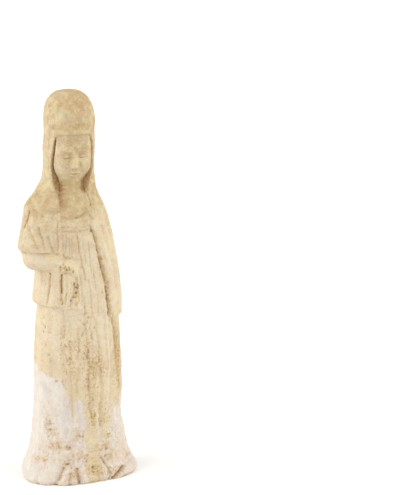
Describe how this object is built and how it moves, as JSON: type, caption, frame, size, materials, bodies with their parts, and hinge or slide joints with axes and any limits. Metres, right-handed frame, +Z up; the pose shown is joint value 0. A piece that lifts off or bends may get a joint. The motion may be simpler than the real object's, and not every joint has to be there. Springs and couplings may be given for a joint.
{
  "type": "terracotta figurine",
  "caption": "Standing court lady in a tall domed hood, short coat and long pleated skirt, moulded in pale clay, with a flat underside to stand on.",
  "frame": {"origin": "on the underside, below the middle of the figure", "axes": "+Z up through the figure to the top of the hood; she faces -Y; her right arm, the bent one, is on the -X side"},
  "size_m": [0.0621, 0.0424, 0.205],
  "materials": {
    "clay": "matt unglazed clay with worn white slip and tan earth"
  },
  "bodies": {
    "root": {"figurine": "clay"}
  },
  "joints": []
}
